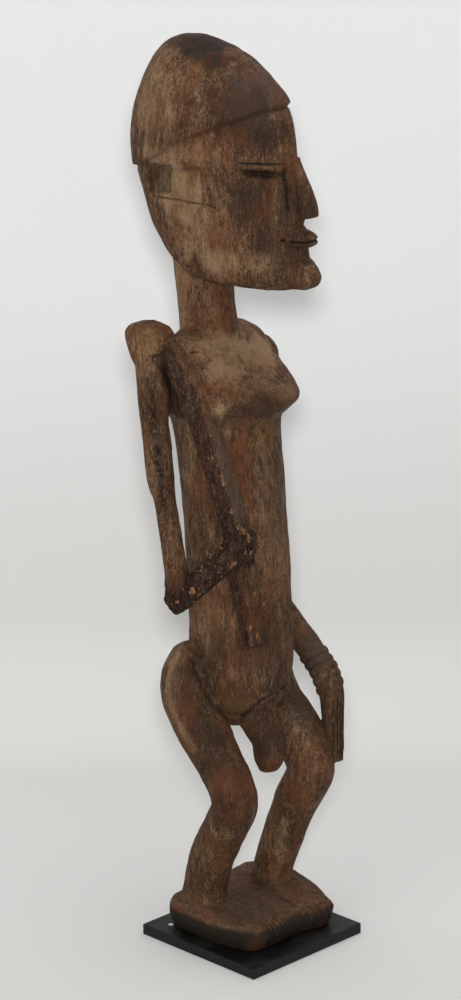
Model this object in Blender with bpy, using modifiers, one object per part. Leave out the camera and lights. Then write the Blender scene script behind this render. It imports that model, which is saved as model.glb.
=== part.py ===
# Standing ancestor figure of carved wood on its black display plate.
# Units are metres, +Z is up, and the figure faces -Y with its own right hand towards -X.
# The origin is the centre of the plate's underside.

import bpy
import bmesh
import numpy as np

# Driving sizes in metres
PLATE_SIDE = 0.112
PLATE_THICKNESS = 0.008
PLATE_EDGE = 0.0006
REST_GAP = 0.0003
BLOCK_SIDE = 0.095
BLOCK_HEIGHT = 0.0157
BLOCK_CORNER = 0.018
CORNER_PULL = 3.0
BLOCK_RISE = 0.008
BLOCK_BULGE = 0.005
BLOCK_LEAN = 0.004
BLOCK_NEAR = 0.0055
BODY_HEIGHT = 0.626

# The body is laid out in parts of its height above the block, as a carver's grid.
BODY_PARTS = 626.0
PART = BODY_HEIGHT / BODY_PARTS
BLOCK_TOP = PLATE_THICKNESS + REST_GAP + BLOCK_HEIGHT

# Fineness of the carving
SQUARED = 3.0
VOXEL = 0.0022
CAP_STEP = 2.0
BRACELET_REACH = 15.0
SMOOTH_PASSES = 3
TRIANGLES = 9300
RING_SIDES = 32
STEPS_PER_STATION = 6

# The block's section from below the cut to the top: share of its height, inset in corner radii, spread
BLOCK_PROFILE = [
    (-0.5, 0.17, 1.0), (0.0, 0.17, 1.0), (0.3, 0.06, 1.0), (0.55, 0.0, 1.0), (0.75, 0.04, 1.0),
    (0.9, 0.16, 1.0), (0.99, 0.4, 1.0), (1.04, 0.4, 0.88), (1.08, 0.4, 0.7), (1.10, 0.4, 0.4),
]
# How far the block's front is cut back, from its right to its left: x, inset in metres
BLOCK_FRONT = [(-0.050, 0.0070), (-0.004, 0.0066), (-0.0035, 0.0080), (0.012, 0.0072), (0.033, 0.0024),
               (0.050, 0.0010)]

# Colours of the two materials
WOOD_COLOUR = (0.115, 0.068, 0.043, 1.0)
PLATE_COLOUR = (0.012, 0.012, 0.013, 1.0)

# Each limb is a list of stations: x, y, z, half width, half depth.
RIGHT_LEG = [
    (-32, 22, 197, 11.5, 12.5), (-35, 26, 186, 17.5, 18), (-36.5, 26, 168, 19.3, 21.8),
    (-37, 18, 150, 19, 20), (-36.7, 6.7, 133, 17.8, 17), (-37.2, -6, 119, 17.2, 15),
    (-38.5, -17, 106, 17, 14.5), (-38, -20, 94, 16.5, 15), (-36.5, -13.5, 80, 16, 15.5),
    (-34.5, -2, 62, 16, 15.5), (-32.5, 8.5, 43, 15.5, 15.5), (-31, 15, 24, 15, 15),
    (-30, 19, 10, 15.5, 16), (-30, 20, -6, 17, 19),
]
LEFT_LEG = [
    (29, 20, 190, 9, 10), (33, 22.5, 181.5, 15.5, 16), (35.7, 23, 165, 18.3, 19.3),
    (36, 12, 146, 18.5, 18.5), (36, -5, 131, 18, 18), (36.5, -16, 117, 17.5, 18),
    (36.5, -22.5, 103, 17, 17), (36, -19, 90, 16.5, 16.5), (35, -10, 73, 16, 15.5),
    (34, -3, 55, 15.5, 15), (32.5, 2, 39, 15, 14.5), (31, 7, 22, 14, 14),
    (30, 9, 10, 14.5, 14.5), (30, 10, -6, 16, 17),
]
RIGHT_UPPER_ARM = [
    (-55, 38, 420, 8, 8), (-58, 39, 414, 12, 12), (-59, 38, 396, 11, 11.5),
    (-60, 36, 369, 9.8, 10), (-60, 33, 348, 9.5, 9.8), (-60, 30, 326, 9.2, 9.6),
    (-60, 26.5, 314, 7.6, 8), (-60, 21, 290, 7.4, 7.8), (-60, 16, 265, 7.4, 8),
    (-60, 15, 249, 7.8, 8.8), (-59, 16, 241, 7, 8),
]
RIGHT_FOREARM = [
    (-61, 20, 239, 6, 6.5), (-57.5, 14.5, 243.5, 8, 8.3), (-48, 4, 256.5, 8.3, 8.8),
    (-38.5, -7, 270.5, 8.5, 9.2), (-32.5, -13.5, 278, 8.8, 9.8), (-28, -17.5, 282.5, 8.5, 10.5),
    (-24.5, -19.5, 285, 6, 8),
]
RIGHT_FIST = [
    (-26, -19.5, 275.5, 5.5, 5.5), (-27, -19.5, 281, 7, 7.5), (-28.5, -18.5, 288, 7, 7.5),
    (-30.5, -16.5, 296, 6, 6),
]
LEFT_UPPER_ARM = [
    (46, 38, 404, 8, 8), (51, 39.5, 395, 10.5, 10.5), (54.5, 42, 378, 10, 10.5),
    (58, 43, 350, 9.3, 9.6), (60, 42, 300, 9, 9.3), (61, 41, 250, 9, 9.4),
    (61, 39, 216, 9.5, 9.5), (61, 36, 204, 8, 8),
]
LEFT_FOREARM = [
    (61, 42, 212, 7, 7.5), (60.5, 35, 206, 9.5, 9.5), (59, 16, 193, 9.5, 9.8),
    (57.5, -6, 177.5, 9.3, 9.4), (56, -18, 167, 9.2, 9.4), (54, -26, 154, 8.4, 8.6),
    (52, -29.5, 138, 8, 7.6), (50, -32.5, 121, 7.8, 7.2), (48, -36, 106, 6.5, 5.5),
]
# The carried tool: its shaft crosses the right shoulder and runs down into the fist.
SHAFT = [
    (-57, 40, 426, 8, 8), (-52, 26, 413, 9.5, 8.5), (-47, 10, 388, 9.8, 8.5),
    (-41, -1, 352, 9.8, 8.5), (-34.5, -9, 316, 9.3, 8.5), (-28, -14.5, 284, 8.5, 7.5),
    (-23.5, -16, 262, 7.3, 6), (-20.3, -17.8, 236, 6.8, 5.5), (-18, -19.3, 209, 6.8, 5.5),
]
TOOL_HEAD = [
    (-58, 24, 424, 8, 8), (-59, 32, 425.5, 11, 11.5), (-59.5, 41, 423.5, 12, 15),
    (-60, 48, 419.5, 12, 16), (-60, 52, 417.5, 9.5, 13.5),
]
NECK = [
    (0, 36, 396, 20, 20), (0, 40, 412, 20.5, 20.5), (0, 43.4, 427, 19.5, 19.5),
    (0, 46.5, 448, 19.2, 19.2), (0, 50, 472, 19.6, 19.6), (0, 52, 490, 20, 20),
]
PENDANT = [
    (-2, 3, 170, 12, 9), (-5, -3, 157, 16, 11), (-3.5, -10, 146, 15, 11.5),
    (0, -16, 132, 13, 11), (0, -17, 118, 11.5, 10), (0, -16.5, 108, 7, 6),
]
RIGHT_FOOT = [
    (-30, 30, 2, 12, 6), (-30, 18, 5, 15, 8), (-29, 2, 3, 16, 6),
    (-28, -16, -1.5, 15.5, 5), (-25.5, -31, -4.5, 11.5, 4.5),
]
LEFT_FOOT = [
    (30, 28, 2, 12, 6), (32.5, 13, 5, 18, 8), (33.5, -6, 3.5, 17, 7),
    (33.5, -23, 0.5, 14.5, 5.5), (32, -38, -5, 13, 5),
]
# Level sections of the trunk: z, y, half width, depth to the front, depth to the back, squareness.
TRUNK = [
    (138, 13, 12, 9, 9, 2.0), (145, 12.5, 22, 18, 19, 2.0), (155, 12, 30, 28, 28, 2.1),
    (170, 11.5, 34.5, 34, 33.5, 2.1), (190, 11.5, 36, 36.5, 35.5, 2.1), (218, 12, 36, 36.5, 35.5, 2.1),
    (256, 14.2, 36, 36, 35.5, 2.1), (296, 18, 36, 36, 35.2, 2.1), (326, 21, 37, 35, 35, 2.1),
    (350, 24, 38, 34.3, 36.5, 2.1), (362, 26, 40, 34.5, 34.5, 2.3), (369, 27, 45, 41, 32, 2.5),
    (376, 28, 48.5, 47.5, 29, 2.7), (383, 28.5, 48.5, 45, 28, 2.6), (390, 29, 47.5, 38, 27, 2.5),
    (397, 30, 46.5, 29.5, 25, 2.4), (404, 32.5, 46, 23, 22, 2.4), (411, 35.5, 44, 18.5, 20, 2.4),
    (418, 38, 39.5, 15, 17, 2.3), (424, 40, 28, 11.5, 13, 2.2), (428, 41, 12, 7, 8, 2.0),
]
# Level sections of the head, with a last value that narrows it towards the face.
HEAD = [
    (459, 18, 14, 40, 14, 2.2, 0.5), (463.5, 26, 25, 68, 24, 2.3, 0.5),
    (470, 34, 28, 81, 25.5, 2.3, 0.49), (479, 41.5, 30, 87, 28.5, 2.3, 0.47),
    (496, 44, 32.5, 86, 38.5, 2.3, 0.45),
    (516, 44.5, 35.5, 82, 46.5, 2.3, 0.42), (536, 45, 37.5, 79, 51, 2.3, 0.4),
    (553, 45.5, 38, 76, 53, 2.3, 0.36), (570, 46, 37.5, 73.5, 50.5, 2.3, 0.34),
    (586, 47, 36, 68, 45, 2.2, 0.32), (600, 49, 32.2, 56, 37.5, 2.1, 0.3),
    (612, 52, 25, 39.5, 27.5, 2.1, 0.25), (619, 55, 16, 23, 18, 2.0, 0.2),
    (623, 57, 7, 9, 8, 2.0, 0.1),
]
HEAD_TURN = 5.0
HEAD_PIVOT = 45.0
# Raised cap, laid over the head above a border that climbs from the nape to the brow: y, z
CAP_RISE = 2.6
CAP_BORDER = [(93, 532), (77, 539), (59, 548), (43, 557), (31, 563), (20, 568), (9, 572),
              (0, 576), (-8, 580), (-16, 584), (-34, 588)]
NOSE = [(0, -32, 552, 4, 3.5), (0, -37, 540, 4, 5), (0, -44, 522, 5.5, 6), (0, -46, 513, 7, 4.5)]
MOUTH = [(0, -34, 498, 13, 6), (0, -43, 497, 10.5, 5.5), (0, -48, 496, 7, 3.5)]
BEARD = [(0, -12, 473, 21, 13), (0, -32, 474, 16, 13), (0, -44, 472, 10.5, 10), (0, -52, 470.5, 5.5, 5)]
# Cuts into the skin: a line on it, half width and depth. Side cuts are y, z on both sides of the head,
# face cuts are x, z on both halves of its front, and body cuts are x, y, z.
SIDE_CUTS = [
    ([(55, 522), (54, 537)], 6.5, 2.4),
    ([(45, 543), (15, 548.5)], 1.9, 1.5),
    ([(65, 518), (40, 519), (14, 517)], 1.5, 1.2),
    ([(-5, 543), (-26, 541)], 3.0, 2.2),
]
FACE_CUTS = [([(9, 541), (24, 541.5)], 3.2, 2.4)]
SIDE_FROM = 12
FACE_FROM = -5
BODY_CUTS = (
    [([(x, -29, 1), (x - 0.5, -37, -6)], 1.6, 1.4) for x in range(-34, -5, 6)]
    + [([(x, -30, 2), (x + 0.5, -43, -6)], 1.6, 1.4) for x in range(17, 44, 6)]
    + [([(x + 4, -33, 156), (x, -41, 112)], 1.5, 1.5) for x in (45.5, 50.5, 55.5)]
    + [([(-44, 18, 198), (-45, 11, 185), (-42, 5, 173), (-36, 1, 162), (-28, -1, 153), (-21, -7, 151),
         (-15, -15, 158), (-10, -19, 164), (-2, -22, 167), (17, -18, 169)], 2.0, 1.6)]
    + [([(-29.5, -8, 257), (-28, -12, 241), (-25.5, -16, 223), (-22.5, -20, 206), (-14, -23, 206)], 1.5, 1.6)]
    + [([(15, 13, 8), (15, -5, 6), (15, -25, 3)], 1.6, 1.4)]
)
# Bracelets on the left wrist: the two ends of the band, how many rings, and how far they stand out
BRACELETS = ((57.2, -8, 176.5), (54.6, -24, 158), 5, 1.2)


def curve_through(stations, steps):
    """Catmull-Rom curve through the stations, with its ends held."""
    points = np.array(stations, dtype=float)
    padded = np.vstack([2 * points[0] - points[1], points, 2 * points[-1] - points[-2]])
    rows = []
    for k in range(len(points) - 1):
        a, b, c, d = padded[k:k + 4]
        t = np.linspace(0, 1, steps, endpoint=False)[:, None]
        rows.append(0.5 * (2 * b + (c - a) * t + (2 * a - 5 * b + 4 * c - d) * t ** 2
                           + (3 * b - a - 3 * c + d) * t ** 3))
    rows.append(points[-1:])
    return np.vstack(rows)


def signed_power(values, power):
    return np.sign(values) * np.abs(values) ** power


def add_rings(mesh, rings):
    """Skin a stack of closed rings and close its two ends."""
    count, sides = rings.shape[0], rings.shape[1]
    verts = [mesh.verts.new(p) for p in rings.reshape(-1, 3)]
    for i in range(count - 1):
        for j in range(sides):
            k = (j + 1) % sides
            mesh.faces.new((verts[i * sides + j], verts[i * sides + k],
                            verts[(i + 1) * sides + k], verts[(i + 1) * sides + j]))
    for first in (0, (count - 1) * sides):
        middle = mesh.verts.new(rings.reshape(-1, 3)[first:first + sides].mean(axis=0))
        for j in range(sides):
            mesh.faces.new((middle, verts[first + (j + 1) % sides], verts[first + j]))


def on_block(points):
    """Turn parts above the block into metres."""
    placed = np.asarray(points) * PART
    placed[..., 2] += BLOCK_TOP
    return placed


def add_limb(mesh, stations, across=(1, 0, 0), roundness=2.2):
    """Round sections carried square to the path through the stations."""
    path = curve_through(stations, STEPS_PER_STATION)
    heading = np.gradient(path[:, :3], axis=0)
    heading /= np.linalg.norm(heading, axis=1)[:, None]
    side = np.array(across, dtype=float) - heading * (heading @ np.array(across, dtype=float))[:, None]
    side /= np.linalg.norm(side, axis=1)[:, None]
    depth = np.cross(heading, side)
    turn = np.linspace(0, 2 * np.pi, RING_SIDES, endpoint=False)
    u = signed_power(np.cos(turn), 2 / roundness)
    v = signed_power(np.sin(turn), 2 / roundness)
    rings = (path[:, None, :3] + side[:, None] * (path[:, 3, None] * u)[..., None]
             + depth[:, None] * (path[:, 4, None] * v)[..., None])
    add_rings(mesh, on_block(rings))


def level_rings(stations):
    """Level sections with their own depth to the front and to the back."""
    rows = curve_through(stations, STEPS_PER_STATION)
    turn = np.linspace(0, 2 * np.pi, 2 * RING_SIDES, endpoint=False)
    z, y, wide, front, back, square = (rows[:, k, None] for k in range(6))
    u = signed_power(np.cos(turn), 2 / square)
    v = signed_power(np.sin(turn), 2 / square)
    reach = np.where(v < 0, front, back)
    narrow = rows[:, 6, None] if rows.shape[1] > 6 else 0.0
    wide = wide * (1 - narrow * np.clip(-v, 0, 1) ** 1.5)
    return np.stack([wide * u, y + reach * v, z + 0 * u], axis=-1)


def turned(points, degrees, pivot_y):
    """Turn about the upright line through the neck."""
    angle = np.radians(degrees)
    x, y = points[..., 0], points[..., 1] - pivot_y
    out = np.array(points, dtype=float)
    out[..., 0] = x * np.cos(angle) - y * np.sin(angle)
    out[..., 1] = x * np.sin(angle) + y * np.cos(angle) + pivot_y
    return out


def add_block(mesh):
    """The carved block under the feet: a rounded square, highest at the back."""
    turn = np.linspace(0, 2 * np.pi, 4 * RING_SIDES, endpoint=False)
    outline = np.stack([np.cos(turn), np.sin(turn)], axis=1)
    straight = BLOCK_SIDE / 2 - BLOCK_CORNER
    corner = straight * np.clip(outline * CORNER_PULL, -1, 1)
    rings = []
    for share, inset, spread in BLOCK_PROFILE:
        ring = spread * (corner + outline * BLOCK_CORNER * (1 - inset))
        front = np.clip(-ring[:, 1] / straight - 0.5, 0, 1)
        near = np.clip(-ring[:, 0] / straight - 0.5, 0, 1) * np.clip(-ring[:, 1] / straight - 0.2, 0, 1)
        ring[:, 1] += front * np.interp(ring[:, 0], *np.array(BLOCK_FRONT).T)
        ring[:, 0] += BLOCK_NEAR * near
        back = ring[:, 1] / BLOCK_SIDE + 0.5
        bulge = np.clip(2 * ring[:, 0] / BLOCK_SIDE, 0, 1) ** 2 * np.clip(2 * back - 0.4, 0, 1)
        ring[:, 0] += BLOCK_BULGE * bulge
        rise = np.clip(share, 0, 1) * (BLOCK_RISE * back + BLOCK_LEAN * bulge)
        level = PLATE_THICKNESS + REST_GAP + BLOCK_HEIGHT * share + rise
        rings.append(np.column_stack([ring, level]))
    add_rings(mesh, np.array(rings))


def mesh_object(name, mesh, collection):
    data = bpy.data.meshes.new(name)
    bmesh.ops.recalc_face_normals(mesh, faces=mesh.faces)
    mesh.to_mesh(data)
    mesh.free()
    thing = bpy.data.objects.new(name, data)
    collection.objects.link(thing)
    return thing


def settle(thing):
    """Replace the object's mesh by what its modifiers make of it."""
    bpy.context.view_layer.update()
    shaped = bpy.data.meshes.new_from_object(thing.evaluated_get(bpy.context.evaluated_depsgraph_get()))
    thing.modifiers.clear()
    thing.data = shaped


def fuse(thing, voxel, passes):
    """Make one skin of overlapping forms and soften where they meet."""
    remesh = thing.modifiers.new("one skin", "REMESH")
    remesh.mode = "VOXEL"
    remesh.voxel_size = voxel
    soften = thing.modifiers.new("soften", "SMOOTH")
    soften.factor = 0.5
    soften.iterations = passes
    settle(thing)


def vertex_arrays(data):
    points = np.empty(len(data.vertices) * 3)
    data.vertices.foreach_get("co", points)
    normals = np.empty(len(data.vertices) * 3)
    data.vertex_normals.foreach_get("vector", normals)
    return points.reshape(-1, 3), normals.reshape(-1, 3)


def to_parts(points):
    """Turn metres into parts above the block."""
    parts = points / PART
    parts[:, 2] -= BLOCK_TOP / PART
    return parts


def distance_to_line(points, line):
    """Distance from each point to a line of straight stretches."""
    line = np.array(line, dtype=float)
    nearest = np.full(len(points), np.inf)
    for a, b in zip(line[:-1], line[1:]):
        along = np.clip((points - a) @ (b - a) / ((b - a) @ (b - a)), 0, 1)
        nearest = np.minimum(nearest, np.linalg.norm(points - a - along[:, None] * (b - a), axis=1))
    return nearest


def carve(thing):
    """Raise the cap and the bracelets, and sink the cuts, along the skin's normals."""
    points, normals = vertex_arrays(thing.data)
    parts = to_parts(points)
    head = turned(parts, -HEAD_TURN, HEAD_PIVOT)
    border = np.array(CAP_BORDER)[::-1]
    edge = np.interp(head[:, 1], border[:, 0], border[:, 1])
    lift = np.clip((head[:, 2] - edge) / CAP_STEP, 0, 1) * CAP_RISE
    wide = np.abs(head[:, 0])
    for where, reached, cuts in ((head[:, 1:], wide > SIDE_FROM, SIDE_CUTS),
                                 (np.column_stack([wide, head[:, 2]]), head[:, 1] < FACE_FROM, FACE_CUTS),
                                 (parts, 1, BODY_CUTS)):
        for line, width, depth in cuts:
            lift -= reached * depth * np.exp(-(distance_to_line(where, line) / width) ** 2)
    start, end = np.array(BRACELETS[0]), np.array(BRACELETS[1])
    along = (parts - start) @ (end - start) / ((end - start) @ (end - start))
    around = (distance_to_line(parts, (start, end)) < BRACELET_REACH) & (along > 0) & (along < 1)
    lift += around * BRACELETS[3] * np.sin(np.pi * BRACELETS[2] * along) ** 2
    thing.data.vertices.foreach_set("co", (points + normals * lift[:, None] * PART).ravel())
    thing.data.update()


def thin_out(thing, count):
    """Bring the skin down to the given number of triangles."""
    triangles = sum(len(p.vertices) - 2 for p in thing.data.polygons)
    thin = thing.modifiers.new("thin out", "DECIMATE")
    thin.ratio = count / triangles
    thin.use_collapse_triangulate = True
    settle(thing)


def cut_flat(thing, height):
    """Cut the underside flat at the given height and close it."""
    mesh = bmesh.new()
    mesh.from_mesh(thing.data)
    everything = list(mesh.verts) + list(mesh.edges) + list(mesh.faces)
    bmesh.ops.bisect_plane(mesh, geom=everything, plane_co=(0, 0, height), plane_no=(0, 0, 1),
                           clear_inner=True, dist=1e-7)
    rim = [edge for edge in mesh.edges if edge.is_boundary]
    bmesh.ops.triangle_fill(mesh, use_beauty=True, edges=rim, normal=(0, 0, -1))
    bmesh.ops.recalc_face_normals(mesh, faces=mesh.faces)
    mesh.to_mesh(thing.data)
    mesh.free()


def give_material(thing, name, colour, roughness):
    material = bpy.data.materials.new(name)
    material.use_nodes = True
    shader = material.node_tree.nodes["Principled BSDF"]
    shader.inputs["Base Color"].default_value = colour
    shader.inputs["Roughness"].default_value = roughness
    shader.inputs["Metallic"].default_value = 0.0
    thing.data.materials.clear()
    thing.data.materials.append(material)


def make_plate(collection):
    bpy.ops.mesh.primitive_cube_add(size=1)
    plate = bpy.context.object
    plate.name = "display_plate"
    plate.data.transform(((PLATE_SIDE, 0, 0, 0), (0, PLATE_SIDE, 0, 0), (0, 0, PLATE_THICKNESS, 0),
                          (0, 0, 0, 1)))
    plate.location = (0, 0, PLATE_THICKNESS / 2)
    for other in plate.users_collection:
        other.objects.unlink(plate)
    collection.objects.link(plate)
    bevel = plate.modifiers.new("eased edges", "BEVEL")
    bevel.width = PLATE_EDGE
    bevel.segments = 1
    give_material(plate, "black_painted_plate", PLATE_COLOUR, 0.55)
    return plate


def make_figure(collection):
    mesh = bmesh.new()
    add_rings(mesh, on_block(level_rings(TRUNK)))
    for limb in (RIGHT_LEG, LEFT_LEG, RIGHT_UPPER_ARM, RIGHT_FIST, LEFT_UPPER_ARM, LEFT_FOREARM,
                 NECK, PENDANT):
        add_limb(mesh, limb)
    for squared in (SHAFT, TOOL_HEAD, RIGHT_FOOT, LEFT_FOOT):
        add_limb(mesh, squared, roundness=SQUARED)
    add_limb(mesh, RIGHT_FOREARM, across=(0.7, 0.7, 0))
    add_rings(mesh, on_block(turned(level_rings(HEAD), HEAD_TURN, HEAD_PIVOT)))
    for feature in (NOSE, MOUTH, BEARD):
        add_limb(mesh, [tuple(turned(np.array(s[:3]), HEAD_TURN, HEAD_PIVOT)) + s[3:] for s in feature])
    add_block(mesh)
    figure = mesh_object("figure", mesh, collection)
    fuse(figure, VOXEL, SMOOTH_PASSES)
    carve(figure)
    thin_out(figure, TRIANGLES)
    cut_flat(figure, PLATE_THICKNESS + REST_GAP)
    give_material(figure, "old_carved_wood", WOOD_COLOUR, 0.75)
    figure.data.shade_smooth()
    return figure


def main():
    for thing in list(bpy.data.objects):
        bpy.data.objects.remove(thing)
    collection = bpy.data.collections.new("standing_figure")
    bpy.context.scene.collection.children.link(collection)
    make_plate(collection)
    make_figure(collection)


main()
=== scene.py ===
import math

import bpy
import numpy as np
from mathutils import Matrix, Vector


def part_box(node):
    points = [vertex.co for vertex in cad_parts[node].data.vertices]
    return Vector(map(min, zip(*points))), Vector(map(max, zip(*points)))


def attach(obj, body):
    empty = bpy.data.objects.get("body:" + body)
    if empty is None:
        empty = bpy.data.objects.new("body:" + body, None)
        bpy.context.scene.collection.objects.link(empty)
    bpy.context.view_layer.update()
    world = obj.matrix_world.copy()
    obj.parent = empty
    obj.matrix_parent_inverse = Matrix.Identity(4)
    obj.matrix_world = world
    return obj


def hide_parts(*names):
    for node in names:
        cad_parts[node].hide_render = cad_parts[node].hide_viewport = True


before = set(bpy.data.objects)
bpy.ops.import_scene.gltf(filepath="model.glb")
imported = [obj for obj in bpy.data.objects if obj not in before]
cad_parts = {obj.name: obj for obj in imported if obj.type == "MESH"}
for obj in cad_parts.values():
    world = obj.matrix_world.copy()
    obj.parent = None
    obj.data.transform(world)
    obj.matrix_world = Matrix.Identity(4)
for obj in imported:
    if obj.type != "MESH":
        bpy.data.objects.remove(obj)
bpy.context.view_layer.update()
figureLow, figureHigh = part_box("figure")

# One part is a 625.5th of the body's height; the block's top is where the parts begin
blockTop = 0.024
part = (figureHigh.z - blockTop) / 625.5

camera = {
    "eye": (-1.7235, -1.6703, 1.09),
    "heading": -45.527,     # degrees from +Y, positive towards -X
    "pitch": 17.581,        # degrees below level
    "lens": 130.0,
}


def cameraAxes():
    heading, pitch = math.radians(camera["heading"]), math.radians(camera["pitch"])
    level = math.cos(pitch)
    forward = Vector((-math.sin(heading) * level, math.cos(heading) * level, -math.sin(pitch)))
    right = forward.cross(Vector((0, 0, 1))).normalized()
    return right, right.cross(forward), forward


def makeCamera():
    right, up, forward = cameraAxes()
    data = bpy.data.cameras.new("photo_camera")
    data.lens = camera["lens"]
    data.clip_start, data.clip_end = 0.05, 60
    thing = bpy.data.objects.new("photo_camera", data)
    turn = Matrix((right, up, -forward)).transposed().to_4x4()
    thing.matrix_world = Matrix.Translation(camera["eye"]) @ turn
    bpy.context.scene.collection.objects.link(thing)
    bpy.context.scene.camera = thing


def curveThrough(stations, steps):
    # Catmull-Rom: each stretch is the cubic that leaves a station along the line between its neighbours
    points = np.array(stations, dtype=float)
    padded = np.vstack([2 * points[0] - points[1], points, 2 * points[-1] - points[-2]])
    a, b, c, d = (padded[k:k + len(points) - 1, None] for k in range(4))
    t = np.linspace(0, 1, steps, endpoint=False)[None, :, None]
    rows = 0.5 * (2 * b + (c - a) * t + (2 * a - 5 * b + 4 * c - d) * t ** 2
                  + (3 * b - a - 3 * c + d) * t ** 3)
    return np.vstack([rows.reshape(-1, points.shape[1]), points[-1:]])


def signedPower(values, power):
    return np.sign(values) * np.abs(values) ** power


def onBlock(points):
    placed = np.asarray(points, dtype=float) * part
    placed[..., 2] += blockTop
    return placed


def toParts(points):
    parts = points / part
    parts[:, 2] -= blockTop / part
    return parts


def limbRings(stations, across=(1, 0, 0), roundness=2.2):
    # a superellipse with the station's half width and half depth, carried square to the path
    path = curveThrough(stations, skin["steps"])
    heading = np.gradient(path[:, :3], axis=0)
    heading /= np.linalg.norm(heading, axis=1)[:, None]
    side = np.array(across, dtype=float) - heading * (heading @ np.array(across, dtype=float))[:, None]
    side /= np.linalg.norm(side, axis=1)[:, None]
    depth = np.cross(heading, side)
    turn = np.linspace(0, 2 * np.pi, skin["sides"], endpoint=False)
    u, v = signedPower(np.cos(turn), 2 / roundness), signedPower(np.sin(turn), 2 / roundness)
    return (path[:, None, :3] + side[:, None] * (path[:, 3, None] * u)[..., None]
            + depth[:, None] * (path[:, 4, None] * v)[..., None])


def levelRings(stations):
    # level superellipses with their own reach to the front and to the back, narrowed to the front
    rows = curveThrough(stations, skin["steps"])
    turn = np.linspace(0, 2 * np.pi, 2 * skin["sides"], endpoint=False)
    z, y, wide, front, back, square = (rows[:, k, None] for k in range(6))
    u, v = signedPower(np.cos(turn), 2 / square), signedPower(np.sin(turn), 2 / square)
    narrow = rows[:, 6, None] if rows.shape[1] > 6 else 0.0
    wide = wide * (1 - narrow * np.clip(-v, 0, 1) ** 1.5)
    return np.stack([wide * u, y + np.where(v < 0, front, back) * v, z + 0 * u], axis=-1)


def turned(points, degrees):
    # turn about the upright line through the neck
    angle = math.radians(degrees)
    x, y = points[..., 0], points[..., 1] - head["pivot"]
    return np.stack([x * math.cos(angle) - y * math.sin(angle),
                     x * math.sin(angle) + y * math.cos(angle) + head["pivot"], points[..., 2]], axis=-1)


def blockRings():
    # a rounded square whose corners run outwards by the radius, with a share of it as inset at each height
    turn = np.linspace(0, 2 * np.pi, 4 * skin["sides"], endpoint=False)
    outline = np.stack([np.cos(turn), np.sin(turn)], axis=1)
    straight = block["side"] / 2 - block["corner"]
    corner = straight * np.clip(outline * 3, -1, 1)
    share, inset, spread = (np.array(block["profile"])[:, k, None] for k in range(3))
    ring = spread[..., None] * (corner + outline * (block["corner"] * (1 - inset))[..., None])
    x, y = ring[..., 0], ring[..., 1]
    near = np.clip(-x / straight - 0.5, 0, 1) * np.clip(-y / straight - 0.2, 0, 1)
    y = y + np.clip(-y / straight - 0.5, 0, 1) * np.interp(x, *np.array(block["front"]).T)
    x = x + block["near"] * near
    back = y / block["side"] + 0.5
    bulge = np.clip(2 * x / block["side"], 0, 1) ** 2 * np.clip(2 * back - 0.4, 0, 1)
    rise = np.clip(share, 0, 1) * (block["rise"] * back + block["lean"] * bulge)
    z = figureLow.z + block["height"] * share + rise
    return np.stack([x + block["bulge"] * bulge, y, z], axis=-1)


def closedTube(rings, first):
    # faces of a stack of rings: a quad between neighbours, a fan of triangles on each end
    count, sides = rings.shape[:2]
    i, j = np.meshgrid(np.arange(count - 1), np.arange(sides), indexing="ij")
    k = (j + 1) % sides
    quads = np.stack([i * sides + j, i * sides + k, (i + 1) * sides + k, (i + 1) * sides + j], axis=-1)
    ring = np.arange(sides)
    last = (count - 1) * sides
    foot = np.stack([np.full(sides, count * sides), (ring + 1) % sides, ring], axis=-1)
    top = np.stack([np.full(sides, count * sides + 1), last + ring, last + (ring + 1) % sides], axis=-1)
    points = np.vstack([rings.reshape(-1, 3), rings[0].mean(axis=0), rings[-1].mean(axis=0)])
    return points, (quads.reshape(-1, 4) + first).tolist() + (foot + first).tolist() + (top + first).tolist()


def meshObject(name, points, faces):
    data = bpy.data.meshes.new(name)
    data.from_pydata(points, [], faces)
    data.update()
    thing = bpy.data.objects.new(name, data)
    bpy.context.scene.collection.objects.link(thing)
    return thing


def settle(thing):
    bpy.context.view_layer.update()
    shaped = bpy.data.meshes.new_from_object(thing.evaluated_get(bpy.context.evaluated_depsgraph_get()))
    thing.modifiers.clear()
    thing.data = shaped


def vertexArrays(data):
    points, normals = np.empty(len(data.vertices) * 3), np.empty(len(data.vertices) * 3)
    data.vertices.foreach_get("co", points)
    data.vertex_normals.foreach_get("vector", normals)
    return points.reshape(-1, 3), normals.reshape(-1, 3)


def cellHash(cell, seed):
    # one number from 0 to 1 for each whole-numbered cell
    mixed = cell.astype(np.int64) * np.array([73856093, 19349663, 83492791])
    h = (mixed[..., 0] ^ mixed[..., 1] ^ mixed[..., 2]) + seed * 9781
    h = ((h ^ (h >> 13)) * 1274126177) & 0x7FFFFFFF
    h = ((h ^ (h >> 11)) * 461845907) & 0x7FFFFFFF
    return ((h >> 8) & 0xFFFF) / 65535.0


def smoothNoise(points, seed):
    # numbers at the cell corners, blended smoothly between them, from -1 to 1
    low = np.floor(points)
    f = points - low
    f = f * f * (3 - 2 * f)
    total = np.zeros(len(points))
    for dx in (0, 1):
        for dy in (0, 1):
            for dz in (0, 1):
                weight = ((f[:, 0] if dx else 1 - f[:, 0]) * (f[:, 1] if dy else 1 - f[:, 1])
                          * (f[:, 2] if dz else 1 - f[:, 2]))
                total += weight * cellHash(low + np.array([dx, dy, dz]), seed)
    return 2 * total - 1


def layeredNoise(points, seed, octaves=3):
    # each layer twice as fine and half as strong
    total, weight = np.zeros(len(points)), 0.0
    for k in range(octaves):
        total += smoothNoise(points * 2 ** k + 17.3 * k, seed + k) / 2 ** k
        weight += 1 / 2 ** k
    return total / weight


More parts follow.
